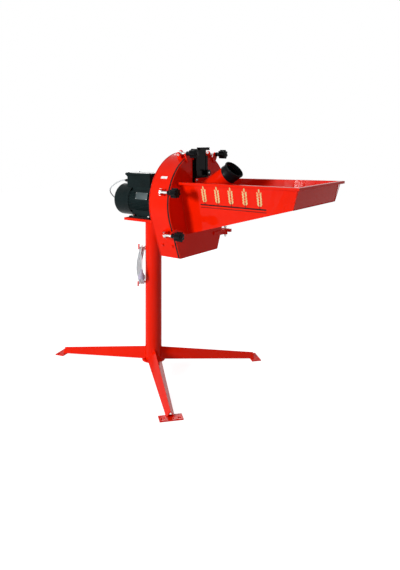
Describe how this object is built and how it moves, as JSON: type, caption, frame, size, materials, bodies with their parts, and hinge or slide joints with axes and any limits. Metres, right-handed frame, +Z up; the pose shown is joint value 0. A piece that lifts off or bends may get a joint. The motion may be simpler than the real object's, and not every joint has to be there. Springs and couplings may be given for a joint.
{
  "type": "feed grinder",
  "caption": "Hammer-mill feed grinder with a motor, clamped round cover, slide gate, angled inlet pipe and deep feed tray on a column stand with three legs, cord hung on hooks",
  "frame": {"origin": "on the floor under the middle of the column", "axes": "+X from the motor to the tray, +Z up, +Y to the side away from the picture's view"},
  "size_m": [1.5886, 0.9257, 1.204],
  "materials": {
    "paint": "gloss",
    "motor_paint": "satin",
    "zinc": "satin",
    "raw_steel": "satin",
    "cast": "matte",
    "black_plastic": "satin",
    "black_paint": "satin",
    "seal_rubber": "matte",
    "cord_jacket": "matte",
    "plug_plastic": "satin"
  },
  "bodies": {
    "stand": {"column": "paint", "base_disc": "paint", "front_leg": "paint", "right_leg": "paint", "left_leg": "paint", "motor_plate": "paint", "cable_hooks": "paint", "motor_body": "motor_paint", "fan_cowl": "motor_paint", "drive_end_bell": "motor_paint", "stator_core": "raw_steel", "ball_bearings": "raw_steel", "terminal_box": "motor_paint", "terminal_lid": "motor_paint", "cable_gland": "black_plastic", "hex_bolts": "zinc", "bearing_housing": "paint", "back_plate": "paint", "drum_shell": "paint", "clamp_ears": "paint", "pivot_pins": "zinc", "sieve": "raw_steel", "cover_seal": "seal_rubber", "cover": "paint", "cover_forks": "paint", "cover_hinges": "paint", "gate_guides": "paint", "inlet_pipe": "paint", "inlet_collar": "seal_rubber", "tray_near_wall": "paint", "tray_far_wall": "paint", "tray_floor": "paint", "tray_end_wall": "paint", "cord_lead": "cord_jacket", "cord_hank": "cord_jacket", "plug": "plug_plastic"},
    "rotor": {"motor_rotor": "raw_steel", "motor_shaft": "raw_steel", "cooling_fan": "black_plastic", "shaft_coupling": "cast", "mill_shaft": "raw_steel", "rotor_discs": "raw_steel", "hammer_pins": "raw_steel", "hammer_spacers": "raw_steel"},
    "hammer_1": {"hammers_1": "raw_steel"},
    "hammer_2": {"hammers_2": "raw_steel"},
    "hammer_3": {"hammers_3": "raw_steel"},
    "hammer_4": {"hammers_4": "raw_steel"},
    "bolt_1": {"swing_bolt_1": "zinc"},
    "knob_1": {"clamp_knob_1": "black_plastic"},
    "bolt_2": {"swing_bolt_2": "zinc"},
    "knob_2": {"clamp_knob_2": "black_plastic"},
    "bolt_3": {"swing_bolt_3": "zinc"},
    "knob_3": {"clamp_knob_3": "black_plastic"},
    "bolt_4": {"swing_bolt_4": "zinc"},
    "knob_4": {"clamp_knob_4": "black_plastic"},
    "gate": {"slide_gate": "black_paint"},
    "gate_screw": {"gate_knob": "black_plastic"}
  },
  "joints": [
    {"name": "rotor_spin", "type": "hinge", "parent": "stand", "child": "rotor", "pos_m": [0, 0, 0.909], "axis": [1, 0, 0], "continuous": true},
    {"name": "hammer_swing_1", "type": "hinge", "parent": "rotor", "child": "hammer_1", "pos_m": [0.247, 0.06717, 0.97618], "axis": [1, 0, 0], "range_deg": [-90, 90]},
    {"name": "hammer_swing_2", "type": "hinge", "parent": "rotor", "child": "hammer_2", "pos_m": [0.247, -0.06717, 0.97618], "axis": [1, 0, 0], "range_deg": [-90, 90]},
    {"name": "hammer_swing_3", "type": "hinge", "parent": "rotor", "child": "hammer_3", "pos_m": [0.247, -0.06717, 0.84183], "axis": [1, 0, 0], "range_deg": [-90, 90]},
    {"name": "hammer_swing_4", "type": "hinge", "parent": "rotor", "child": "hammer_4", "pos_m": [0.247, 0.06717, 0.84183], "axis": [1, 0, 0], "range_deg": [-90, 90]},
    {"name": "bolt_swing_1", "type": "hinge", "parent": "stand", "child": "bolt_1", "pos_m": [0.277, -0.26384, 0.99188], "axis": [0, -0.2284, -0.9736], "range_deg": [0, 100]},
    {"name": "knob_turn_1", "type": "hinge", "parent": "bolt_1", "child": "knob_1", "pos_m": [0.36, -0.26384, 0.99188], "axis": [1, 0, 0], "range_deg": [0, 720]},
    {"name": "bolt_swing_2", "type": "hinge", "parent": "stand", "child": "bolt_2", "pos_m": [0.277, -0.11624, 1.1748], "axis": [0, -0.9033, -0.4289], "range_deg": [0, 100]},
    {"name": "knob_turn_2", "type": "hinge", "parent": "bolt_2", "child": "knob_2", "pos_m": [0.36, -0.11624, 1.1748], "axis": [1, 0, 0], "range_deg": [0, 720]},
    {"name": "bolt_swing_3", "type": "hinge", "parent": "stand", "child": "bolt_3", "pos_m": [0.277, 0.1355, 1.16469], "axis": [0, -0.866, 0.5], "range_deg": [0, 100]},
    {"name": "knob_turn_3", "type": "hinge", "parent": "bolt_3", "child": "knob_3", "pos_m": [0.36, 0.1355, 1.16469], "axis": [1, 0, 0], "range_deg": [0, 720]},
    {"name": "bolt_swing_4", "type": "hinge", "parent": "stand", "child": "bolt_4", "pos_m": [0.277, -0.23319, 0.78192], "axis": [0, 0.3633, -0.9317], "range_deg": [0, 100]},
    {"name": "knob_turn_4", "type": "hinge", "parent": "bolt_4", "child": "knob_4", "pos_m": [0.36, -0.23319, 0.78192], "axis": [1, 0, 0], "range_deg": [0, 720]},
    {"name": "gate_slide", "type": "slide", "parent": "stand", "child": "gate", "axis": [0, 0, 1], "range_m": [0, 0.11]},
    {"name": "gate_knob_turn", "type": "hinge", "parent": "stand", "child": "gate_screw", "pos_m": [0.34, 0.03, 1.073], "axis": [1, 0, 0], "range_deg": [0, 360]}
  ]
}
